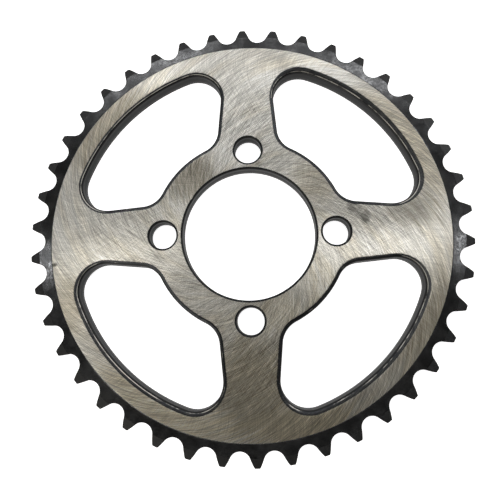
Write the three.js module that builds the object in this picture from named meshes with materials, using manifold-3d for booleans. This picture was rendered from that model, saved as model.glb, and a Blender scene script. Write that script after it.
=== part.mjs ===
// Rear sprocket of a small motorcycle: one flat steel plate, ground on both faces, with a toothed
// rim for the drive chain, four spokes, a centring bore and four hub bolt holes.
// Millimetres. The plate lies flat: +Z is the wheel axis, z = 0 is the face that seats on the wheel
// hub, the origin is the bore's centre on that face, and +X runs through one bolt hole.
import * as THREE from 'three';
import { mergeVertices } from 'three/addons/utils/BufferGeometryUtils.js';
import Module from 'manifold-3d';

// Chain and teeth
const CHAIN_PITCH = 12.7;
const TOOTH_COUNT = 42;
const SEAT_R = 3.95; // roller seat, a little over the chain roller's 3.89 radius
const SEAT_HALF_ANGLE = THREE.MathUtils.degToRad(67.2); // from the gap's inward direction
const FLANK_R = 26.8; // convex tooth flank
const TIP_R = 87.2;
const FIRST_TOOTH_ANGLE = THREE.MathUtils.degToRad(5.28); // a tooth's centre line, from +X

// Plate and rim section
const THICKNESS = 6;
const GROUND_R = 78.05; // outer edge of the ground faces
const SHOULDER_R = 78.35; // the rim starts a small step below the ground faces
const SHOULDER_DROP = 0.3;
const RELIEF_R = 83.4; // the gentle rim cone meets the steeper tip facet here
const RELIEF_DROP = 0.75;
const TIP_DROP = 1.65;

// Hub
const BORE_R = 26.05;
const BOLT_HOLE_R = 5.25;
const BOLT_CIRCLE_R = 33.95;
const BOLT_COUNT = 4;

// Windows between the spokes
const WINDOW_OUTER_R = 70.4;
const WINDOW_INNER_R = 38.5;
const OUTER_FILLET = 10.3;
const INNER_FILLET = 9.6;
const SPOKE_HALF_WIDTH = 10.6; // at SPOKE_GAUGE_R out from the bore's centre
const SPOKE_GAUGE_R = 57.5;
const SPOKE_FLARE = THREE.MathUtils.degToRad(5.25); // each side leans out towards the hub

// Rounded-over edges of every cut opening
const EDGE_BREAK = 0.5;

// Fineness
const RIM_SEGMENTS = TOOTH_COUNT * 2;
const BOLT_HOLE_SEGMENTS = 24;
const SEAT_POINTS = 5;
const FLANK_POINTS = 2;
const FILLET_POINTS = 6;
const OUTER_ARC_POINTS = 11;
const INNER_ARC_POINTS = 7;
const OVERSHOOT = 1; // how far each cutter runs past a face
const MERGE_TOLERANCE = 1e-4;

const GROUND_STEEL = { color: 0xa9a496, roughness: 0.35, metalness: 1 };

const PITCH_R = CHAIN_PITCH / (2 * Math.sin(Math.PI / TOOTH_COUNT));
const TOOTH_STEP = (2 * Math.PI) / TOOTH_COUNT;

const wasm = await Module();
wasm.setup();

// Solids and geometries

function toSolid(geometry) {
  const bare = geometry.clone();
  bare.deleteAttribute('normal');
  bare.deleteAttribute('uv');
  const merged = mergeVertices(bare, MERGE_TOLERANCE);
  return new wasm.Manifold(new wasm.Mesh({
    numProp: 3,
    vertProperties: new Float32Array(merged.getAttribute('position').array),
    triVerts: new Uint32Array(merged.getIndex().array),
  }));
}

function toGeometry(solid) {
  const mesh = solid.getMesh();
  const geometry = new THREE.BufferGeometry();
  geometry.setAttribute('position', new THREE.BufferAttribute(mesh.vertProperties, 3));
  geometry.setIndex(new THREE.BufferAttribute(mesh.triVerts, 1));
  geometry.computeVertexNormals();
  return geometry;
}

function at(centre, radius, angle) {
  return new THREE.Vector2(Math.cos(angle), Math.sin(angle)).multiplyScalar(radius).add(centre);
}

// Points of an arc, both ends included.
function arc(centre, radius, from, to, count) {
  const points = [];
  for (let i = 0; i < count; i += 1) {
    points.push(at(centre, radius, from + ((to - from) * i) / (count - 1)));
  }
  return points;
}

// A closed section of [radius, height] points, turned about Z.
function turned(profile, segments) {
  const points = profile.map(([radius, height]) => new THREE.Vector2(radius, height));
  return new THREE.LatheGeometry([...points, points[0]], segments).rotateX(Math.PI / 2);
}

// The rim

// Half of a tooth gap that is centred on the +X direction, from its bottom to the tooth's tip.
function halfGap() {
  const seatCentre = new THREE.Vector2(PITCH_R, 0);
  const seat = arc(seatCentre, SEAT_R, Math.PI, Math.PI - SEAT_HALF_ANGLE, SEAT_POINTS);
  // The flank's centre lies on the line through the seat's centre and the end of the seat's arc.
  const seatEnd = seat[seat.length - 1];
  const outward = seatEnd.clone().sub(seatCentre).normalize();
  const flankCentre = seatEnd.clone().addScaledVector(outward, FLANK_R);
  // It crosses the tip circle where its distance from the bore's centre is TIP_R.
  const reach = flankCentre.length();
  const bearing = flankCentre.angle();
  const cosine = (reach ** 2 + TIP_R ** 2 - FLANK_R ** 2) / (2 * reach * TIP_R);
  const tipEnd = at(new THREE.Vector2(), TIP_R, bearing - Math.acos(cosine));
  const start = seatEnd.clone().sub(flankCentre).angle();
  const end = tipEnd.clone().sub(flankCentre).angle();
  return [...seat, ...arc(flankCentre, FLANK_R, start, end, FLANK_POINTS + 1).slice(1)];
}

function toothOutline() {
  const half = halfGap();
  const mirrored = half.slice(1).reverse().map((point) => new THREE.Vector2(point.x, -point.y));
  const gap = [...mirrored, ...half];
  const points = [];
  for (let i = 0; i < TOOTH_COUNT; i += 1) {
    const angle = FIRST_TOOTH_ANGLE + TOOTH_STEP * (i + 0.5);
    points.push(...gap.map((point) => point.clone().rotateAround(new THREE.Vector2(), angle)));
  }
  return new THREE.Shape(points);
}

function rimRing() {
  const inner = BORE_R;
  const outer = TIP_R + OVERSHOOT;
  const slope = (TIP_DROP - RELIEF_DROP) / (TIP_R - RELIEF_R);
  const outerDrop = TIP_DROP + slope * OVERSHOOT;
  const front = [
    [outer, THICKNESS - outerDrop],
    [RELIEF_R, THICKNESS - RELIEF_DROP],
    [SHOULDER_R, THICKNESS - SHOULDER_DROP],
    [GROUND_R, THICKNESS],
    [inner + EDGE_BREAK, THICKNESS],
    [inner, THICKNESS - EDGE_BREAK],
  ];
  const back = front.map(([radius, height]) => [radius, THICKNESS - height]).reverse();
  const ring = toSolid(turned([...back, ...front], RIM_SEGMENTS));
  const teeth = new THREE.ExtrudeGeometry(toothOutline(), {
    depth: THICKNESS + 2 * OVERSHOOT,
    bevelEnabled: false,
  });
  return ring.intersect(toSolid(teeth.translate(0, 0, -OVERSHOOT)));
}

// The openings

// A straight cutter right through the plate, and a bevelled one at each face that takes EDGE_BREAK
// off the opening's edge.
function outlineCutter(outline) {
  const flare = {
    depth: OVERSHOOT,
    bevelEnabled: true,
    bevelThickness: EDGE_BREAK,
    bevelSize: EDGE_BREAK,
    bevelSegments: 1,
  };
  const straight = { depth: THICKNESS + 2 * OVERSHOOT, bevelEnabled: false };
  const shape = new THREE.Shape(outline);
  const middle = toSolid(new THREE.ExtrudeGeometry(shape, straight).translate(0, 0, -OVERSHOOT));
  const front = toSolid(new THREE.ExtrudeGeometry(shape, flare).translate(0, 0, THICKNESS));
  const back = toSolid(new THREE.ExtrudeGeometry(shape, flare).translate(0, 0, -OVERSHOOT));
  return middle.add(front).add(back);
}

// The window between the spokes along +X and +Y. Each spoke's side is a straight line, joined to
// the rim's arc and the hub's arc by a fillet.
function windowOutline() {
  const origin = new THREE.Vector2();
  const along = new THREE.Vector2(Math.cos(SPOKE_FLARE), -Math.sin(SPOKE_FLARE));
  const across = new THREE.Vector2(Math.sin(SPOKE_FLARE), Math.cos(SPOKE_FLARE));
  const sideDistance = across.dot(new THREE.Vector2(SPOKE_GAUGE_R, SPOKE_HALF_WIDTH));
  const filletCentre = (reach, fillet) => {
    const offset = sideDistance + fillet;
    const run = Math.sqrt(reach ** 2 - offset ** 2);
    return across.clone().multiplyScalar(offset).addScaledVector(along, run);
  };
  const inner = filletCentre(WINDOW_INNER_R + INNER_FILLET, INNER_FILLET);
  const outer = filletCentre(WINDOW_OUTER_R - OUTER_FILLET, OUTER_FILLET);
  const onSide = across.angle();
  const side = [
    ...arc(inner, INNER_FILLET, inner.angle() + Math.PI, onSide + Math.PI, FILLET_POINTS),
    ...arc(outer, OUTER_FILLET, onSide - Math.PI, outer.angle(), FILLET_POINTS),
  ];
  const otherSide = side.map((point) => new THREE.Vector2(point.y, point.x)).reverse();
  const quarter = Math.PI / 2;
  const rimArc = arc(origin, WINDOW_OUTER_R, outer.angle(), quarter - outer.angle(), OUTER_ARC_POINTS);
  const hubArc = arc(origin, WINDOW_INNER_R, quarter - inner.angle(), inner.angle(), INNER_ARC_POINTS);
  return [...side, ...rimArc.slice(1, -1), ...otherSide, ...hubArc.slice(1, -1)];
}

function boltHoleCutter() {
  const flareR = BOLT_HOLE_R + EDGE_BREAK + OVERSHOOT;
  const profile = [
    [0, -OVERSHOOT],
    [flareR, -OVERSHOOT],
    [BOLT_HOLE_R, EDGE_BREAK],
    [BOLT_HOLE_R, THICKNESS - EDGE_BREAK],
    [flareR, THICKNESS + OVERSHOOT],
  ];
  const points = profile.map(([radius, height]) => new THREE.Vector2(radius, height));
  points.push(new THREE.Vector2(0, THICKNESS + OVERSHOOT));
  const hole = new THREE.LatheGeometry(points, BOLT_HOLE_SEGMENTS).rotateX(Math.PI / 2);
  return hole.translate(BOLT_CIRCLE_R, 0, 0);
}

// The plate

function sprocketPlate() {
  let plate = rimRing();
  const window = outlineCutter(windowOutline());
  const boltHole = toSolid(boltHoleCutter());
  for (let i = 0; i < BOLT_COUNT; i += 1) {
    const turn = [0, 0, THREE.MathUtils.radToDeg((2 * Math.PI * i) / BOLT_COUNT)];
    plate = plate.subtract(window.rotate(turn)).subtract(boltHole.rotate(turn));
  }
  const mesh = new THREE.Mesh(toGeometry(plate), new THREE.MeshStandardMaterial(GROUND_STEEL));
  mesh.name = 'sprocket_plate';
  return mesh;
}

const sprocket = new THREE.Group();
sprocket.add(sprocketPlate());

export default sprocket;
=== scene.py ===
"""Rear sprocket: a flat ground steel plate with a blackened toothed rim, in a plain pale studio."""

import math

import bmesh
import bpy
from mathutils import Matrix, Vector
from mathutils.geometry import delaunay_2d_cdt


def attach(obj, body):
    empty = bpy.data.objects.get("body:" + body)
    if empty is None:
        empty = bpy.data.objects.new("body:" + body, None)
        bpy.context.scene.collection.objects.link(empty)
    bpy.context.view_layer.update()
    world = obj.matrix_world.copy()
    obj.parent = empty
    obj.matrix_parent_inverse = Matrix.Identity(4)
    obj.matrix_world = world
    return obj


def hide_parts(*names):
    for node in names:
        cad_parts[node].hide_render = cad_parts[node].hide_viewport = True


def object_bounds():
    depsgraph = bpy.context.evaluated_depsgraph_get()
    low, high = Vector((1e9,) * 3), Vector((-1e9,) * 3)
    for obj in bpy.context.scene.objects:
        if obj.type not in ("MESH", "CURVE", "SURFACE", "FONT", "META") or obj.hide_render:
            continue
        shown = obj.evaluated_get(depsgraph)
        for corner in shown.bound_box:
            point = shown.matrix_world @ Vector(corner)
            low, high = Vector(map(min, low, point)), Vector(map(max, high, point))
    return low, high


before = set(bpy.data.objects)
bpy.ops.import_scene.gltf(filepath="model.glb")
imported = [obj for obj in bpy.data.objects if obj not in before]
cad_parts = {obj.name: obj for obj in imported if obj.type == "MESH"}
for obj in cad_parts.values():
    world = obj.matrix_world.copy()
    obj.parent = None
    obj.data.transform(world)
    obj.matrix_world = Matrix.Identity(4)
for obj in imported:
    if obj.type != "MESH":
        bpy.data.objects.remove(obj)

CAD_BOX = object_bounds()

MM = 0.001  # the sizes below are in millimetres, the scene is in metres

# Chain and teeth
CHAIN_PITCH = 12.7
TOOTH_COUNT = 42
SEAT_R = 3.95
SEAT_HALF_ANGLE = math.radians(67.2)
FLANK_R = 26.8
TIP_R = 87.2
TIP_CORNER_R = 0.5
FIRST_TOOTH_ANGLE = math.radians(5.28)
TOOTH_EDGE_R = 0.22  # the small round along every tooth's edge

# Plate and rim section
BACK_Z = CAD_BOX[0].z / MM
FACE_Z = CAD_BOX[1].z / MM
THICKNESS = FACE_Z - BACK_Z
GROUND_R = 78.05
SHOULDER_R = 78.35
SHOULDER_DROP = 0.3
RELIEF_R = 83.4
RELIEF_DROP = 0.75
TIP_DROP = 1.65

# Hub
BORE_R = 26.05
BOLT_HOLE_R = 5.25
BOLT_CIRCLE_R = 33.95

# Windows between the spokes
WINDOW_OUTER_R = 70.4
WINDOW_INNER_R = 38.5
OUTER_FILLET = 10.3
INNER_FILLET = 9.6
SPOKE_HALF_WIDTH = 10.6
SPOKE_GAUGE_R = 57.5
SPOKE_FLARE = math.radians(5.25)

# The openings' edges. The punch has rolled them over on the front: the face first sags towards the
# opening, and then rounds down into the wall. The back face is flat up to a nearly sharp edge.
EDGE_ROUND = 0.65
BACK_EDGE_ROUND = 0.12
WORN_WIDTH = 0.22  # a line along the start of the round, where handling has worn the black off
SAG = 0.14  # drop per square millimetre of the way from the flat face
HOLE_ROLL = 1.0  # how far from the wall the sag starts, round the bore and the bolt holes
WINDOW_ROLL = 2.0  # the same at a window's spokes and hub
RIM_ROLLS = (2.8, 2.0, 2.4, 2.4)  # the same at the rim side of each window
RIM_ROLL_START_R = 60.0  # a window's roll widens from here to its rim side
SUPPORT = 0.3  # a narrow strip of flat face beside each round, which keeps the shading crisp

PITCH_R = CHAIN_PITCH / (2 * math.sin(math.pi / TOOTH_COUNT))
TOOTH_STEP = 2 * math.pi / TOOTH_COUNT
QUARTER = math.pi / 2


# The camera

CAMERA_AT = Vector((6.81, -34.60, FACE_Z + 179.13)) * MM
CAMERA_AIM = Vector((0.233, -6.653, FACE_Z)) * MM
CAMERA_ROLL = math.radians(-1.034)
CAMERA_LENS = 33.73  # on Blender's 36 mm sensor
CLIP_START = 0.01  # metres


def looking(place, aim):
    """The matrix of a camera or lamp at place that faces aim, the plate's +Y up in its view."""
    forward = (aim - place).normalized()
    right = forward.cross(Vector((0, 1, 0))).normalized()
    up = right.cross(forward)
    turn = Matrix((right, up, -forward)).transposed().to_4x4()
    return Matrix.Translation(place) @ turn


def add_camera():
    data = bpy.data.cameras.new("camera")
    data.lens = CAMERA_LENS
    data.clip_start = CLIP_START
    camera = bpy.data.objects.new("camera", data)
    bpy.context.scene.collection.objects.link(camera)
    camera.matrix_world = looking(CAMERA_AT, CAMERA_AIM) @ Matrix.Rotation(CAMERA_ROLL, 4, "Z")
    bpy.context.scene.camera = camera


# Outlines: closed loops of points in millimetres, anticlockwise. An inset moves a loop's line into
# the steel, square to itself, and keeps its number of points.

SEAT_STEPS = 8
FLANK_STEPS = 6
CORNER_STEPS = 4
TIP_STEPS = 3
FILLET_STEPS = 20
OUTER_ARC_STEPS = 56
INNER_ARC_STEPS = 26
SIDE_STEPS = 8
BORE_STEPS = 180
BOLT_HOLE_STEPS = 72


def at(centre, radius, angle):
    """The point at a radius and an angle from a centre."""
    return Vector((centre[0] + radius * math.cos(angle), centre[1] + radius * math.sin(angle)))


def arc(centre, radius, start, end, steps):
    return [at(centre, radius, start + (end - start) * i / steps) for i in range(steps + 1)]


def bearing(point):
    """The angle at which a point or a direction lies, from +X."""
    return math.atan2(point[1], point[0])


def turned(points, angle):
    turn = Matrix.Rotation(angle, 2)
    return [turn @ point for point in points]


def half_gap(inset):
    """From the bottom of a tooth gap on +X, up the flank, to the middle of the next tooth's tip."""
    seat_centre = Vector((PITCH_R, 0))
    into_tooth = math.pi - SEAT_HALF_ANGLE
    flank_centre = at(seat_centre, SEAT_R + FLANK_R, into_tooth)
    # The corner's round touches the flank's circle and the tip circle from inside.
    reach = flank_centre.length
    to_flank = FLANK_R - TIP_CORNER_R
    to_axis = TIP_R - TIP_CORNER_R
    cosine = (reach**2 + to_axis**2 - to_flank**2) / (2 * reach * to_axis)
    corner_bearing = bearing(flank_centre) - math.acos(cosine)
    corner_centre = at((0, 0), to_axis, corner_bearing)
    flank_end = bearing(corner_centre - flank_centre)
    seat = arc(seat_centre, SEAT_R + inset, math.pi, into_tooth, SEAT_STEPS)
    flank = arc(flank_centre, FLANK_R - inset, into_tooth - math.pi, flank_end, FLANK_STEPS)
    corner = arc(corner_centre, TIP_CORNER_R - inset, flank_end, corner_bearing, CORNER_STEPS)
    tip = arc((0, 0), TIP_R - inset, corner_bearing, TOOTH_STEP / 2, TIP_STEPS)
    return seat + flank[1:] + corner[1:] + tip[1:]


def rim_outline(inset):
    """All the teeth."""
    half = half_gap(inset)
    mirrored = [Vector((point.x, -point.y)) for point in reversed(half)]
    gap = mirrored[:-1] + half[:-1]
    points = []
    for i in range(TOOTH_COUNT):
        points += turned(gap, FIRST_TOOTH_ANGLE + TOOTH_STEP * (i + 0.5))
    return points


def window_outline(inset):
    """The window between the spokes on +X and +Y."""
    inset_side = math.cos(SPOKE_FLARE) * SPOKE_HALF_WIDTH + math.sin(SPOKE_FLARE) * SPOKE_GAUGE_R
    across = Vector((math.sin(SPOKE_FLARE), math.cos(SPOKE_FLARE)))
    along = Vector((math.cos(SPOKE_FLARE), -math.sin(SPOKE_FLARE)))

    def fillet_centre(reach, fillet):
        offset = inset_side + fillet
        return across * offset + along * math.sqrt(reach**2 - offset**2)

    inner = fillet_centre(WINDOW_INNER_R + INNER_FILLET, INNER_FILLET)
    outer = fillet_centre(WINDOW_OUTER_R - OUTER_FILLET, OUTER_FILLET)
    to_side = bearing(across) - math.pi
    inner_arc = arc(inner, INNER_FILLET + inset, bearing(inner) - math.pi, to_side, FILLET_STEPS)
    outer_arc = arc(outer, OUTER_FILLET + inset, to_side, bearing(outer), FILLET_STEPS)
    straight = [inner_arc[-1].lerp(outer_arc[0], i / SIDE_STEPS) for i in range(1, SIDE_STEPS)]
    side = inner_arc + straight + outer_arc
    other_side = [Vector((point.y, point.x)) for point in reversed(side)]
    rim_r = WINDOW_OUTER_R + inset
    hub_r = WINDOW_INNER_R - inset
    rim_arc = arc((0, 0), rim_r, bearing(outer), QUARTER - bearing(outer), OUTER_ARC_STEPS)
    hub_arc = arc((0, 0), hub_r, QUARTER - bearing(inner), bearing(inner), INNER_ARC_STEPS)
    return side + rim_arc[1:-1] + other_side + hub_arc[1:-1]


def circle(centre, radius, steps):
    return [at(centre, radius, 2 * math.pi * i / steps) for i in range(steps)]


def ease(share):
    """Smoothly from 0 to 1 as share goes from 0 to 1."""
    share = min(max(share, 0.0), 1.0)
    return share * share * (3 - 2 * share)


def rim_side(point):
    """0 on the hub's side of a window, and up to 1 on its rim side."""
    return ease((point.length - RIM_ROLL_START_R) / (WINDOW_OUTER_R - RIM_ROLL_START_R))


def hole(centre, radius, steps):
    return lambda inset: circle(centre, radius + inset, steps)


def window(angle):
    return lambda inset: turned(window_outline(inset), angle)


def openings():
    """The wall's outline, the directions into the steel and the roll's widths, for each opening."""
    shapes = [(hole((0, 0), BORE_R, BORE_STEPS), HOLE_ROLL)]
    for i, rim_roll in enumerate(RIM_ROLLS):
        angle = QUARTER * i
        bolt = at((0, 0), BOLT_CIRCLE_R, angle)
        shapes.append((hole(bolt, BOLT_HOLE_R, BOLT_HOLE_STEPS), HOLE_ROLL))
        shapes.append((window(angle), rim_roll))
    found = []
    for outline, roll in shapes:
        wall = outline(0.0)
        ways = [(after - before).normalized() for before, after in zip(wall, outline(1.0))]
        least = min(roll, WINDOW_ROLL)
        rolls = [least + (roll - least) * rim_side(point) for point in wall]
        found.append((wall, ways, rolls))
    return found


# The plate's mesh: strips between rings of points. The rim is alike on both faces, so its rings are
# made once and used on both. An opening has its own rings on each face.

SAG_STEPS = 4
ROUND_STEPS = 5
WALL_STEPS = 4
RIM_SHARES = (0.0, 0.04, 0.35, 0.65, 0.96, 1.0)  # rings across the rim's cone, and across the tips
CREASE_STRIP = 0.06  # a narrow strip inside each crease at the rim's step, which keeps it crisp
MERGE_DIGITS = 4  # points that agree to so many digits of a millimetre are one
FILL_TOLERANCE = 1e-5
GROUND, RIM_CONE, TEETH, SHEARED, WORN = range(5)  # material slots


def rim_drop(radius):
    """How far the rim's surface lies below the ground face."""
    if radius <= GROUND_R:
        return 0.0
    if radius <= SHOULDER_R:
        return SHOULDER_DROP * (radius - GROUND_R) / (SHOULDER_R - GROUND_R)
    if radius <= RELIEF_R:
        rise = (radius - SHOULDER_R) / (RELIEF_R - SHOULDER_R)
        return SHOULDER_DROP + (RELIEF_DROP - SHOULDER_DROP) * rise
    rise = (radius - RELIEF_R) / (TIP_R - RELIEF_R)
    return RELIEF_DROP + (TIP_DROP - RELIEF_DROP) * rise


class Plate:
    """The mesh as it grows: its points, and its faces with their material slots."""

    def __init__(self):
        self.points = []
        self.index = {}
        self.faces = []
        self.slots = []

    def vertex(self, x, y, z):
        point = Vector((x, y, z))
        key = tuple(round(value, MERGE_DIGITS) for value in point)
        if key not in self.index:
            self.index[key] = len(self.points)
            self.points.append(point * MM)
        return self.index[key]

    def face(self, corners, slot):
        kept = [c for i, c in enumerate(corners) if c != corners[i - 1]]
        if len(set(kept)) > 2:
            self.faces.append(kept)
            self.slots.append(slot)

    def strip(self, ring, following, slot):
        """Quads between two rings of (x, y, z) that have as many points."""
        lower = [self.vertex(*point) for point in ring]
        upper = [self.vertex(*point) for point in following]
        for i in range(len(ring)):
            self.face([lower[i - 1], lower[i], upper[i], upper[i - 1]], slot)

    def on_face(self, rings, slots, face_z, sign):
        """Strips between rings of (x, y, drop). sign is -1 on the front and 1 on the back."""
        placed = [[(x, y, face_z + sign * drop) for x, y, drop in ring] for ring in rings]
        for i, slot in enumerate(slots):
            self.strip(placed[i], placed[i + 1], slot)

    def both_faces(self, rings, slots):
        self.on_face(rings, slots, FACE_Z, -1)
        self.on_face(rings, slots, BACK_Z, 1)

    def wall(self, front, back, slot):
        """From the front's last ring of (x, y, drop) down to the back's."""
        levels = []
        for step in range(WALL_STEPS + 1):
            share = step / WALL_STEPS
            level = []
            for (x, y, drop), (_, _, back_drop) in zip(front, back):
                level.append((x, y, FACE_Z - drop - share * (THICKNESS - drop - back_drop)))
            levels.append(level)
        for above, below in zip(levels, levels[1:]):
            self.strip(above, below, slot)


def quarter_round():
    """The shares of width and depth at each step of a round, from the face to the wall."""
    angles = [QUARTER * i / ROUND_STEPS for i in range(ROUND_STEPS + 1)]
    return [(1 - math.sin(angle), 1 - math.cos(angle)) for angle in angles]


def opening_ring(opening, reach, sag, round_drop=0.0):
    """A ring of (x, y, drop below the face) round an opening, reach(roll) out from its wall."""
    ring = []
    for point, way, roll in zip(*opening):
        out = reach(roll)
        place = point + way * out
        ring.append((place.x, place.y, sag * max(roll - out, 0.0) ** 2 + round_drop))
    return ring


def opening_rings(opening, sag, edge_round):
    """The rings from the flat face down to the wall, on one face."""
    rings = [opening_ring(opening, lambda roll: roll + SUPPORT, sag)]
    crest = edge_round + WORN_WIDTH
    for step in range(SAG_STEPS + 1):
        share = step / SAG_STEPS
        rings.append(opening_ring(opening, lambda roll: roll + (crest - roll) * share, sag))
    for width, depth in quarter_round():
        round_drop = edge_round * depth
        rings.append(opening_ring(opening, lambda roll: edge_round * width, sag, round_drop))
    return rings


def add_opening(plate, opening):
    """Adds an opening's edges and wall, and returns the ring where the flat face starts."""
    front = opening_rings(opening, SAG, EDGE_ROUND)
    back = opening_rings(opening, 0.0, BACK_EDGE_ROUND)
    front_slots = [GROUND] * (SAG_STEPS + 1) + [WORN] + [SHEARED] * ROUND_STEPS
    back_slots = [GROUND] * (SAG_STEPS + 2) + [SHEARED] * ROUND_STEPS
    plate.on_face(front, front_slots, FACE_Z, -1)
    plate.on_face(back, back_slots, BACK_Z, 1)
    plate.wall(front[-1], back[-1], SHEARED)
    return front[0]


def rim_rings():
    """Rings of (x, y, drop) from the ground face's edge out to where the teeth's edges start."""
    line = rim_outline(TOOTH_EDGE_R)
    reaches = [point.length for point in line]
    ways = [point.normalized() for point in line]

    def ring(radii):
        return [(way.x * r, way.y * r, rim_drop(r)) for way, r in zip(ways, radii)]

    step_radii = (GROUND_R - CREASE_STRIP, GROUND_R, SHOULDER_R - CREASE_STRIP)
    rings = [ring([radius] * len(line)) for radius in step_radii]
    cone_ends = [min(RELIEF_R, reach) for reach in reaches]
    for share in RIM_SHARES:
        rings.append(ring([SHOULDER_R + (end - SHOULDER_R) * share for end in cone_ends]))
    for share in RIM_SHARES[1:]:
        rings.append(ring([end + (reach - end) * share for end, reach in zip(cone_ends, reaches)]))
    return rings


def add_rim(plate):
    """Adds the rim and its teeth on both faces, and returns the ring where the flat face ends."""
    rings = rim_rings()
    slots = [GROUND, TEETH] + [RIM_CONE] * len(RIM_SHARES) + [TEETH] * (len(RIM_SHARES) - 1)
    for width, depth in quarter_round()[1:]:
        outline = rim_outline(TOOTH_EDGE_R * width)
        rings.append([(p.x, p.y, rim_drop(p.length) + TOOTH_EDGE_R * depth) for p in outline])
        slots.append(TEETH)
    plate.both_faces(rings, slots)
    plate.wall(rings[-1], rings[-1], TEETH)
    return rings[0]


def add_faces(plate, loops):
    """Fills each flat face between the rim's ring, which comes first, and the openings' rings.

    A triangle that lies in the rim's polygon alone is steel."""
    points = []
    polygons = []
    for loop in loops:
        polygons.append(list(range(len(points), len(points) + len(loop))))
        points += [Vector((x, y)) for x, y, _ in loop]
    filled = delaunay_2d_cdt(points, [], polygons, 0, FILL_TOLERANCE)
    _, _, triangles, sources, _, polygons_held = filled
    for face_z in (FACE_Z, BACK_Z):
        corners = [plate.vertex(*points[source[0]], face_z) for source in sources]
        for triangle, inside in zip(triangles, polygons_held):
            if list(inside) == [0]:
                plate.face([corners[c] for c in triangle], GROUND)


def make_plate():
    plate = Plate()
    loops = [add_rim(plate)]
    for opening in openings():
        loops.append(add_opening(plate, opening))
    add_faces(plate, loops)
    mesh = bpy.data.meshes.new("ground_plate")
    mesh.from_pydata(plate.points, [], plate.faces)
    mesh.polygons.foreach_set("material_index", plate.slots)
    mesh.shade_smooth()
    shape = bmesh.new()
    shape.from_mesh(mesh)
    bmesh.ops.recalc_face_normals(shape, faces=shape.faces)
    shape.to_mesh(mesh)
    shape.free()
    piece = bpy.data.objects.new("ground_plate", mesh)
    bpy.context.scene.collection.objects.link(piece)
    return piece


# Materials

# The grinding marks are spirals that lean away from the radius, most of all towards the rim: a
# mark's slope against the radius is its own lean + RIM_LEAN * (radius / GROUND_R) ** LEAN_POWER.
LEAN = 0.95
RIM_LEAN = 1.25
LEAN_POWER = 5
FACE_SHIFT = 5.0  # moves the noise on from one face to the other, so that they aren't alike

# The lean of the finest marks, which are too small to see one by one and set the sheen's direction
SHEEN_LEAN = 0.64

# Sets of marks: the lean, how many marks lie side by side in a radian round the plate, how far out
# in millimetres a mark carries on, and a seed
MARKS = (LEAN * 1.9, 320.0, 8.0, 29.0)
CROSSING_MARKS = (LEAN * 0.7, 330.0, 7.0, 41.0)
AGAINST_MARKS = (LEAN * -0.8, 280.0, 7.0, 83.0)
STREAKS = (LEAN, 46.0, 11.0, 17.0)
SCRATCHES = (LEAN * 1.2, 70.0, 12.0, 61.0)
GLINTS = (LEAN * 0.2, 80.0, 10.0, 71.0)
BLOTCHES = (LEAN, 5.0, 16.0, 3.0)
TINTS = (LEAN, 9.0, 20.0, 11.0)
SMEARS = (LEAN * 3, 60.0, 2.0, 51.0)

# Parts of a noise's range: where nearly all and where most of its values lie, and how far from its
# middle a thin line is and isn't
NEARLY_ALL = (0.25, 0.75)
MOST = (0.3, 0.7)
LINE = (0.01, 0.07)

# How dark and how light each kind of mark makes the steel
MARK_SHADES = (0.38, 1.62)
CROSSING_SHADES = (0.42, 1.58)
AGAINST_SHADES = (0.75, 1.25)
STREAK_SHADES = (0.94, 1.06)
CLOUD_SHADES = (0.94, 1.06)
SCRATCH_SHADES = (0.76, 1.0)
GLINT_SHADES = (1.20, 1.0)
PIT_SHADES = (1.0, 0.72)
PIT_RANGE = (0.73, 0.80)

# The marks stand out most round the hub. Their contrast falls between these radii, from the first
# number to the second.
CONTRAST_RADII = (48.0, 68.0)
CONTRASTS = (1.15, 0.82)
RAGGED = (-0.25, 0.25)  # how far the streaks pull a patch's outline in and out

# How far below the face the wheel still reaches, in millimetres, along the streaks and the marks,
# and how softly the ground steel ends there
STREAK_REACH = 0.03
MARK_REACH = 0.04
TOUCHED_RANGE = (-0.012, 0.02)


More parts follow.
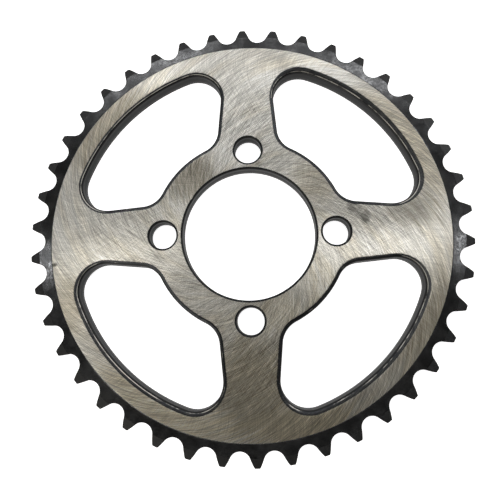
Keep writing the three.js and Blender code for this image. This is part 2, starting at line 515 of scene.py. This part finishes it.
class Tree:
    """A material's nodes, written as nested calls. Arguments are sockets or plain numbers."""

    def __init__(self, name):
        self.material = bpy.data.materials.new(name)
        self.material.use_nodes = True
        self.nodes = self.material.node_tree.nodes
        self.links = self.material.node_tree.links
        self.shader = self.nodes["Principled BSDF"]
        self.place = self.in_millimetres(self.nodes.new("ShaderNodeTexCoord").outputs["Object"])
        split = self.nodes.new("ShaderNodeSeparateXYZ")
        self.links.new(self.place, split.inputs[0])
        self.x, self.y, self.z = split.outputs
        self.radius = self.math("SQRT", self.add(self.square(self.x), self.square(self.y)))
        self.angle = self.math("ARCTAN2", self.y, self.x)

    def feed(self, socket, value):
        if isinstance(value, bpy.types.NodeSocket):
            self.links.new(value, socket)
        else:
            socket.default_value = value

    def look(self, **inputs):
        """Feeds the shader's inputs. A name's underscores stand for spaces."""
        for name, value in inputs.items():
            self.feed(self.shader.inputs[name.replace("_", " ")], value)

    def math(self, operation, *values):
        node = self.nodes.new("ShaderNodeMath")
        node.operation = operation
        for socket, value in zip(node.inputs, values):
            self.feed(socket, value)
        return node.outputs[0]

    def add(self, first, second):
        return self.math("ADD", first, second)

    def times(self, first, second):
        return self.math("MULTIPLY", first, second)

    def square(self, value):
        return self.math("MULTIPLY", value, value)

    def in_millimetres(self, place):
        node = self.nodes.new("ShaderNodeVectorMath")
        node.operation = "SCALE"
        self.feed(node.inputs[0], place)
        node.inputs["Scale"].default_value = 1 / MM
        return node.outputs[0]

    def combine(self, x, y, z):
        node = self.nodes.new("ShaderNodeCombineXYZ")
        for socket, value in zip(node.inputs, (x, y, z)):
            self.feed(socket, value)
        return node.outputs[0]

    def noise(self, place, scale=1.0, detail=2.0, roughness=0.5):
        """Soft random values around 0.5."""
        node = self.nodes.new("ShaderNodeTexNoise")
        self.feed(node.inputs["Vector"], place)
        node.inputs["Scale"].default_value = scale
        node.inputs["Detail"].default_value = detail
        node.inputs["Roughness"].default_value = roughness
        return node.outputs["Fac"]

    def spread(self, value, low, high, to_low=0.0, to_high=1.0, smooth=True):
        """Maps low..high to to_low..to_high and holds it there beyond."""
        node = self.nodes.new("ShaderNodeMapRange")
        node.interpolation_type = "SMOOTHSTEP" if smooth else "LINEAR"
        for socket, number in zip(node.inputs, (value, low, high, to_low, to_high)):
            self.feed(socket, number)
        return node.outputs[0]

    def blend(self, share, first, second, mode="MIX"):
        """A colour between first and second, which are sockets or (r, g, b)."""
        node = self.nodes.new("ShaderNodeMix")
        node.data_type = "RGBA"
        node.blend_type = mode
        node.clamp_factor = True
        self.feed(node.inputs["Factor"], share)
        for name, colour in (("A", first), ("B", second)):
            socket = next(i for i in node.inputs if i.name == name and i.type == "RGBA")
            self.feed(socket, (*colour, 1.0) if isinstance(colour, tuple) else colour)
        return next(o for o in node.outputs if o.type == "RGBA")

    def shaded(self, colour, shade):
        """A colour made darker or lighter by shade, where 1 leaves it as it is."""
        return self.blend(1.0, colour, self.combine(shade, shade, shade), "MULTIPLY")

    def near(self, azimuth, radius, degrees, millimetres, ragged=0.0):
        """1 at a place on the plate, fading to 0 at so many degrees and millimetres from it."""
        cosine = math.cos(math.radians(azimuth))
        sine = math.sin(math.radians(azimuth))
        ahead = self.add(self.times(self.x, cosine), self.times(self.y, sine))
        aside = self.add(self.times(self.y, cosine), self.times(self.x, -sine))
        turn = self.times(self.math("ARCTAN2", aside, ahead), 1 / math.radians(degrees))
        out = self.times(self.add(self.radius, -radius), 1 / millimetres)
        far = self.add(self.add(self.square(turn), self.square(out)), ragged)
        return self.spread(far, 0.0, 1.0, 1.0, 0.0)

    def patched(self, shade, near, brightness):
        """A shade that is made brightness times as light where near is 1."""
        return self.times(shade, self.spread(near, 0.0, 1.0, 1.0, brightness, smooth=False))

    def from_middle(self, noise):
        """How far a noise is from 0.5: a thin line wherever this is near 0."""
        return self.math("ABSOLUTE", self.add(noise, -0.5))

    def bump(self, height, distance):
        node = self.nodes.new("ShaderNodeBump")
        node.inputs["Distance"].default_value = distance * MM
        self.feed(node.inputs["Height"], height)
        return node.outputs[0]

    def rim_share(self):
        """0 at the axis and 1 at the ground faces' outer edge, rising most near that edge."""
        return self.math("POWER", self.times(self.radius, 1 / GROUND_R), LEAN_POWER)

    def spiral(self, lean, marks_round, mark_reach, seed):
        """A place to take noise from, where the noise is drawn out along the grinding marks.

        marks_round is how many marks lie side by side in a radian round the plate, and mark_reach
        how far out, in millimetres, a mark carries on."""
        # A spiral's turn is its slope against the radius, summed over the logarithm of the radius.
        growth = self.times(self.rim_share(), RIM_LEAN / LEAN_POWER)
        turn = self.add(self.times(self.math("LOGARITHM", self.radius, math.e), lean), growth)
        angle = self.add(self.angle, turn)
        across_x = self.times(self.math("COSINE", angle), marks_round)
        across_y = self.times(self.math("SINE", angle), marks_round)
        side = self.times(self.z, FACE_SHIFT)
        along = self.add(self.times(self.radius, 1 / mark_reach), self.add(side, seed))
        return self.combine(across_x, across_y, along)

    def heading(self, turn):
        """The level direction that is turned anticlockwise by turn from the radius."""
        angle = self.add(self.angle, turn)
        return self.combine(self.math("COSINE", angle), self.math("SINE", angle), 0.0)

    def drop(self):
        """How far below the nearer face a point lies."""
        front = self.math("SUBTRACT", FACE_Z, self.z)
        back = self.math("SUBTRACT", self.z, BACK_Z)
        return self.math("MINIMUM", front, back)


# Base colours
STEEL = (0.60, 0.582, 0.533)
STEEL_BROWN = (0.55, 0.515, 0.44)
STEEL_TARNISHED = (0.60, 0.545, 0.43)
STEEL_GREY = (0.575, 0.563, 0.522)
BLACK = (0.045, 0.047, 0.051)
BLACK_WORN = (0.11, 0.11, 0.11)
RIM_BRIGHT = (0.15, 0.152, 0.156)
RIM_DULL = (0.055, 0.056, 0.058)
RIM_SPECK = (0.19, 0.19, 0.19)
TOOTH_DARK = (0.008, 0.0083, 0.0088)
TOOTH_LIGHT = (0.034, 0.0345, 0.036)
TOOTH_CLOUD = (0.013, 0.0133, 0.0138)
# painted shade on the teeth at the lower left
TOOTH_PAINTED_SHADE = (0.003, 0.0031, 0.0033)
BURNISHED_DARK = (0.003, 0.0031, 0.0034)
BURNISHED_LIGHT = (0.010, 0.0102, 0.0111)
TORN_DARK = (0.007, 0.0072, 0.0075)
TORN_LIGHT = (0.020, 0.0202, 0.0203)
PAPER_DARK = (0.86, 0.86, 0.86)
PAPER_LIGHT = (0.9, 0.9, 0.9)

# Patches of the ground faces: the broad ones are painted highlights and painted shade, and the
# small ones are dark spots, the smudge beside the bolt hole on +X among them. Azimuth, radius, how
# many degrees and millimetres a patch reaches to either side, how bright it is and how brown
PAINTED_LIGHT_AND_SMUDGES = (
    (28, 74, 26, 10, 1.06, 0.8),
    (65, 74, 13, 8, 1.46, 0.0),
    (115, 74, 13, 8, 1.18, 0.0),
    (142, 74, 21, 10, 0.72, 0.9),
    (200, 74, 10, 9, 0.76, 0.6),
    (243, 74, 30, 10, 1.32, 1.0),
    (284, 74, 19, 10, 0.94, 1.2),
    (331, 74, 19, 10, 0.58, 0.7),
    (270, 57, 20, 23, 0.70, 0.8),
    (353, 56, 10, 22, 1.22, 0.0),
    (7, 66, 8, 14, 0.66, 0.3),
    (187, 56, 9, 20, 1.28, 0.2),
    (85, 67, 8, 10, 1.30, 0.0),
    (135, 32, 22, 10, 0.53, 0.6),
    (165, 33, 15, 9, 1.30, 0.0),
    (104, 32, 20, 9, 1.25, 0.0),
    (38, 33, 22, 10, 0.77, 0.5),
    (290, 33, 19, 9, 1.26, 0.5),
    (324, 33, 17, 9, 1.40, 0.3),
    (6.5, 45.6, 4.5, 2.6, 0.30, 0.0),
    (10, 43.4, 4, 2.2, 0.55, 0.0),
    (13.5, 41.2, 4.5, 2.2, 0.40, 0.0),
    (0, 32, 16, 9, 1.36, 0.0),
    (248, 32, 34, 9, 1.12, 0.1),
    (82, 28.6, 5, 1.6, 0.65, 0.0),
    (188, 77.4, 0.8, 1.6, 0.20, 0.0),
)

# The same for the blackened cone of the rim, without the brown: painted highlights and painted
# shade
PAINTED_RIM_LIGHT = (
    (20, 80, 19, 7, 0.38),
    (88, 80, 18, 7, 0.33),
    (142, 80, 12, 7, 0.40),
    (186, 80, 6, 7, 1.7),
    (355, 80, 6, 7, 1.2),
    (235, 80, 34, 7, 0.70),
)

# Azimuth, radius and reach of the side of the teeth that is darkened as painted shade, and of the
# side of the windows where the black has worn off least
PAINTED_SHADE_TEETH = (240, 84, 60, 12)
PAINTED_SHADE_SHARE = 0.9
LEAST_WORN = (290, 70, 70, 30)
LEAST_WORN_SHIFT = -0.14

# How far below each face the walls' burnished band gives way to the break, in millimetres, and how
# far the scores pull that line up and down
BREAK_DEPTHS = (1.4, 2.0)
BREAK_WANDER = (-0.3, 0.3)


def ground_shade(tree):
    """How light the ground faces are, around 1: fine crossing marks, streaks, pits, smudges and
    patches of painted highlight and painted shade.

    Returns that, how brown the faces are, and the noises of the marks and the streaks."""
    marks = tree.noise(tree.spiral(*MARKS), detail=1.0)
    crossing = tree.noise(tree.spiral(*CROSSING_MARKS), detail=1.0)
    against = tree.noise(tree.spiral(*AGAINST_MARKS), detail=1.0)
    streak = tree.noise(tree.spiral(*STREAKS))
    scratches = tree.noise(tree.spiral(*SCRATCHES), detail=1.0)
    glints = tree.noise(tree.spiral(*GLINTS), detail=1.0)
    cloud = tree.noise(tree.place, scale=0.16)
    pits = tree.noise(tree.place, scale=1.3, detail=1.0)
    shade = tree.spread(marks, *NEARLY_ALL, *MARK_SHADES, smooth=False)
    shade = tree.times(shade, tree.spread(crossing, *NEARLY_ALL, *CROSSING_SHADES, smooth=False))
    shade = tree.times(shade, tree.spread(against, *NEARLY_ALL, *AGAINST_SHADES, smooth=False))
    shade = tree.times(shade, tree.spread(streak, *NEARLY_ALL, *STREAK_SHADES, smooth=False))
    shade = tree.times(shade, tree.spread(tree.from_middle(scratches), *LINE, *SCRATCH_SHADES))
    shade = tree.times(shade, tree.spread(tree.from_middle(glints), *LINE, *GLINT_SHADES))
    contrast = tree.spread(tree.radius, *CONTRAST_RADII, *CONTRASTS)
    shade = tree.add(tree.times(tree.add(shade, -1.0), contrast), 1.0)
    shade = tree.times(shade, tree.spread(cloud, *MOST, *CLOUD_SHADES))
    shade = tree.times(shade, tree.spread(pits, *PIT_RANGE, *PIT_SHADES))
    ragged = tree.spread(streak, *MOST, *RAGGED)
    brown = 0.0
    # Broad patches paint highlights and shade onto the steel, and small ones darken smudges and
    # spots.
    for *place, brightness, brownness in PAINTED_LIGHT_AND_SMUDGES:
        near = tree.near(*place, ragged)
        shade = tree.patched(shade, near, brightness)
        if brownness:
            brown = tree.add(brown, tree.times(near, brownness))
    return shade, brown, marks, streak


# In each material below, a range is the part of a noise's values over which one colour gives way to
# another, a pair of shares is how far it does, and a relief is in millimetres.
BROWN_RANGE = (0.42, 0.68)
GREY_RANGE = (0.5, 0.75)
SMEAR_RANGE = (0.45, 0.75)

GROUND_ROUGHNESS = (0.385, 0.425)
GROUND_RELIEF = 0.03
GROUND_ANISOTROPY = 0.95


def ground_steel():
    """Bare steel with spiral grinding marks, black where a rolled edge lies below the wheel."""
    tree = Tree("ground_steel")
    shade, brown, marks, streak = ground_shade(tree)
    blotch = tree.noise(tree.spiral(*BLOTCHES))
    tint = tree.noise(tree.spiral(*TINTS))
    colour = tree.blend(tree.spread(blotch, *BROWN_RANGE), STEEL, STEEL_BROWN)
    colour = tree.blend(tree.spread(tint, *GREY_RANGE), colour, STEEL_GREY)
    colour = tree.blend(brown, colour, STEEL_TARNISHED)
    colour = tree.shaded(colour, shade)
    # The wheel only reaches what is level with the face.
    reach = tree.add(tree.times(streak, STREAK_REACH), tree.times(marks, MARK_REACH))
    touched = tree.spread(tree.math("SUBTRACT", reach, tree.drop()), *TOUCHED_RANGE)
    smear = tree.noise(tree.spiral(*SMEARS))
    rolled = tree.blend(tree.spread(smear, *SMEAR_RANGE), BLACK, BLACK_WORN)
    tree.look(
        Base_Color=tree.blend(touched, rolled, colour),
        Roughness=tree.spread(streak, *MOST, *GROUND_ROUGHNESS),
        Normal=tree.bump(marks, GROUND_RELIEF),
        # The marks scatter light most in the direction square to them.
        Tangent=tree.heading(QUARTER - math.atan(SHEEN_LEAN)),
        Metallic=1.0,
        Anisotropic=GROUND_ANISOTROPY,
    )
    return tree.material


RIM_CLOUD_RANGE = (0.35, 0.65)
RIM_DULL_RANGE = (0.44, 0.58)
RIM_DULL_SHARES = (0.0, 0.85)
RIM_SPECK_RANGE = (0.56, 0.72)
RIM_SPECK_SHARES = (0.0, 0.6)
RINGS_SCALE = 3.0  # how often the rings' noise changes in a millimetre outwards
RADIAN_REACH = 6.0  # the millimetres that a radian round the rim counts as there
RIM_ROUGHNESS = (0.17, 0.26)
RIM_RELIEF = 0.02
GRAIN_SHARE = 0.4  # of the relief, and the rings make the rest
RIM_METALLIC = 0.86
RIM_ANISOTROPY = 0.6


def rim_black():
    """The blackened cone inside the teeth, with the fine rings of the lathe, dull patches, and
    painted highlights and shade.
    """
    tree = Tree("rim_black")
    cloud = tree.noise(tree.place, scale=0.22)
    patch = tree.noise(tree.place, scale=1.1, detail=3.0, roughness=0.65)
    grain = tree.noise(tree.place, scale=2.2, roughness=0.65)
    round_rim = tree.combine(tree.times(tree.angle, RADIAN_REACH), 0.0, tree.radius)
    rings = tree.noise(round_rim, scale=RINGS_SCALE)
    colour = tree.blend(tree.spread(cloud, *RIM_CLOUD_RANGE), RIM_DULL, RIM_BRIGHT)
    dull = tree.spread(patch, *RIM_DULL_RANGE, *RIM_DULL_SHARES)
    colour = tree.blend(dull, colour, RIM_DULL)
    specks = tree.spread(grain, *RIM_SPECK_RANGE, *RIM_SPECK_SHARES)
    colour = tree.blend(specks, colour, RIM_SPECK)
    # Painted highlights and painted shade on the rim's cone
    shade = 1.0
    for *place, brightness in PAINTED_RIM_LIGHT:
        shade = tree.patched(shade, tree.near(*place), brightness)
    relief = tree.add(tree.times(grain, GRAIN_SHARE), tree.times(rings, 1 - GRAIN_SHARE))
    tree.look(
        Base_Color=tree.shaded(colour, shade),
        Roughness=tree.spread(patch, *MOST, *RIM_ROUGHNESS),
        Normal=tree.bump(relief, RIM_RELIEF),
        # The lathe's rings scatter light outwards and inwards.
        Tangent=tree.heading(0.0),
        Metallic=RIM_METALLIC,
        Anisotropic=RIM_ANISOTROPY,
    )
    return tree.material


TOOTH_GRAIN_RANGE = (0.38, 0.68)
TOOTH_CLOUD_RANGE = (0.4, 0.7)
TOOTH_CLOUD_SHARES = (0.0, 0.5)
TOOTH_ROUGHNESS = (0.5, 0.65)
TOOTH_RELIEF = 0.05
TOOTH_METALLIC = 0.3
TOOTH_SPECULAR = 0.36


def tooth_black():
    """Blackened steel on the teeth's bevelled tips and edges: dull and speckled, with painted shade
    on one side.
    """
    tree = Tree("tooth_black")
    grain = tree.noise(tree.place, scale=1.9, detail=3.0, roughness=0.7)
    cloud = tree.noise(tree.place, scale=0.3)
    colour = tree.blend(tree.spread(grain, *TOOTH_GRAIN_RANGE), TOOTH_DARK, TOOTH_LIGHT)
    clouded = tree.spread(cloud, *TOOTH_CLOUD_RANGE, *TOOTH_CLOUD_SHARES)
    colour = tree.blend(clouded, colour, TOOTH_CLOUD)
    # Painted shade: the teeth at the lower left are darkened
    painted_shade = tree.times(tree.near(*PAINTED_SHADE_TEETH), PAINTED_SHADE_SHARE)
    tree.look(
        Base_Color=tree.blend(painted_shade, colour, TOOTH_PAINTED_SHADE),
        Roughness=tree.spread(grain, *MOST, *TOOTH_ROUGHNESS),
        Normal=tree.bump(grain, TOOTH_RELIEF),
        Metallic=TOOTH_METALLIC,
        Specular_IOR_Level=TOOTH_SPECULAR,
    )
    return tree.material


# How fine the walls' scores are round the wall and down it
SCORES_ROUND = 2.4
SCORES_DOWN = 0.25
WALL_ROUGHNESS = (0.42, 0.7)  # of the burnished band and of the break
WALL_RELIEF = 0.03
WALL_SPECULAR = 0.18


def sheared_steel():
    """The punched walls: a smooth black band under each face, a rougher grey break between."""
    tree = Tree("sheared_steel")
    scores_x = tree.times(tree.x, SCORES_ROUND)
    scores_y = tree.times(tree.y, SCORES_ROUND)
    upright = tree.combine(scores_x, scores_y, tree.times(tree.z, SCORES_DOWN))
    scores = tree.noise(upright, detail=3.0, roughness=0.6)
    grain = tree.noise(tree.place, scale=3.0, detail=3.0)
    edge = tree.add(tree.drop(), tree.spread(scores, *MOST, *BREAK_WANDER))
    broken = tree.spread(edge, *BREAK_DEPTHS)
    burnished = tree.blend(scores, BURNISHED_DARK, BURNISHED_LIGHT)
    torn = tree.blend(grain, TORN_DARK, TORN_LIGHT)
    tree.look(
        Base_Color=tree.blend(broken, burnished, torn),
        Roughness=tree.spread(broken, 0.0, 1.0, *WALL_ROUGHNESS),
        Normal=tree.bump(tree.add(scores, grain), WALL_RELIEF),
        Specular_IOR_Level=WALL_SPECULAR,
    )
    return tree.material


# The long rim side of each window is worn most. The wear grows between these radii, from the first
# shift to the second.
WEAR_RADII = (52.0, 66.0)
WEAR_SHIFTS = (-0.16, 0.11)
BARE_RANGE = (0.42, 0.66)
WORN_ROUGHNESS = (0.35, 0.5)


def worn_edge():
    """The line where the black has worn through to bright steel, broken here and there."""
    tree = Tree("worn_edge")
    patch = tree.noise(tree.place, scale=0.22, detail=3.0, roughness=0.6)
    outward = tree.spread(tree.radius, *WEAR_RADII, *WEAR_SHIFTS)
    covered = tree.times(tree.near(*LEAST_WORN), LEAST_WORN_SHIFT)
    bare = tree.spread(tree.add(patch, tree.add(outward, covered)), *BARE_RANGE)
    tree.look(
        Base_Color=tree.blend(bare, BLACK, STEEL),
        Roughness=tree.spread(patch, *MOST, *WORN_ROUGHNESS),
        Metallic=1.0,
    )
    return tree.material


PAPER_ROUGHNESS = 0.9
PAPER_EMISSION = (1.0, 1.0, 1.0, 1.0)


def floor_paper():
    tree = Tree("floor_paper")
    fibre = tree.noise(tree.place, scale=0.8)
    tree.look(
        Base_Color=tree.blend(fibre, PAPER_DARK, PAPER_LIGHT),
        Roughness=PAPER_ROUGHNESS,
        Emission_Color=PAPER_EMISSION,
        Emission_Strength=FLOOR_GLOW,
    )
    return tree.material


# The studio: a glowing white table and large soft lamps

FLOOR_SIZE = 2.4
FLOOR_SQUARES = 24
FLOOR_GLOW = 1.0
BACKDROP_COLOUR = (1.0, 0.99, 0.97)
BACKDROP_TOP = math.sin(math.radians(32))  # the backdrop fades out upwards, into a dark ceiling
BACKDROP_GLOW = 0.9
CEILING_GLOW = 0.01
LAMP_DISTANCE = 0.9

NEUTRAL = (1.0, 1.0, 1.0)
WARM = (1.0, 0.965, 0.89)

WARM_LAMPS = ("overhead", "low_left")

# name: azimuth and elevation in degrees, width and height in metres, power in watts
LAMPS = {
    "behind": (91, 36.5, 0.32, 0.70, 1.2),
    "behind_left": (134, 37.3, 0.67, 0.10, 0.59),
    "back_left": (110.6, 49.4, 0.14, 0.10, 0.39),
    "back_right": (64.7, 47.9, 0.25, 0.15, 0.47),
    "high_right": (36.7, 62.6, 0.12, 0.08, 0.40),
    "low_right": (37.7, 27.3, 0.08, 0.08, 2.0),
    "right": (10.6, 52.1, 0.08, 0.08, 0.17),
    "left": (172.5, 49.7, 0.08, 0.08, 0.125),
    "overhead": (171, 82, 0.59, 0.42, 0.73),
    "low_left": (231, 22.2, 0.27, 0.70, 4.7),
}


def add_floor():
    shape = bmesh.new()
    bmesh.ops.create_grid(
        shape,
        x_segments=FLOOR_SQUARES,
        y_segments=FLOOR_SQUARES,
        size=FLOOR_SIZE / 2,
    )
    mesh = bpy.data.meshes.new("studio_floor")
    shape.to_mesh(mesh)
    shape.free()
    mesh.materials.append(floor_paper())
    floor = bpy.data.objects.new("studio_floor", mesh)
    floor.location.z = BACK_Z * MM
    bpy.context.scene.collection.objects.link(floor)


def add_lamp(name, azimuth, elevation, width, height, power):
    data = bpy.data.lights.new(name, "AREA")
    data.shape = "RECTANGLE"
    data.size = width
    data.size_y = height
    data.energy = power
    data.color = WARM if name in WARM_LAMPS else NEUTRAL
    lamp = bpy.data.objects.new(name, data)
    bpy.context.scene.collection.objects.link(lamp)
    turn = math.radians(azimuth)
    rise = math.radians(elevation)
    way = Vector((math.cos(rise) * math.cos(turn), math.cos(rise) * math.sin(turn), math.sin(rise)))
    lamp.matrix_world = looking(way * LAMP_DISTANCE, Vector((0, 0, 0)))


def add_studio():
    scene = bpy.context.scene
    scene.view_settings.view_transform = "Standard"
    world = bpy.data.worlds.new("studio")
    world.use_nodes = True
    nodes = world.node_tree.nodes
    links = world.node_tree.links
    backdrop = nodes["Background"]
    backdrop.inputs["Color"].default_value = (*BACKDROP_COLOUR, 1.0)
    way = nodes.new("ShaderNodeSeparateXYZ")
    links.new(nodes.new("ShaderNodeTexCoord").outputs["Generated"], way.inputs[0])
    glow = nodes.new("ShaderNodeMapRange")
    glow.interpolation_type = "SMOOTHSTEP"
    links.new(way.outputs["Z"], glow.inputs["Value"])
    glow.inputs["From Min"].default_value = 0.0
    glow.inputs["From Max"].default_value = BACKDROP_TOP
    glow.inputs["To Min"].default_value = BACKDROP_GLOW
    glow.inputs["To Max"].default_value = CEILING_GLOW
    links.new(glow.outputs["Result"], backdrop.inputs["Strength"])
    scene.world = world
    add_floor()
    for name, numbers in LAMPS.items():
        add_lamp(name, *numbers)


def finish_plate():
    piece = make_plate()
    for material in (ground_steel(), rim_black(), tooth_black(), sheared_steel(), worn_edge()):
        piece.data.materials.append(material)
    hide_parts("sprocket_plate")
    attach(piece, "root")


add_camera()
add_studio()
finish_plate()
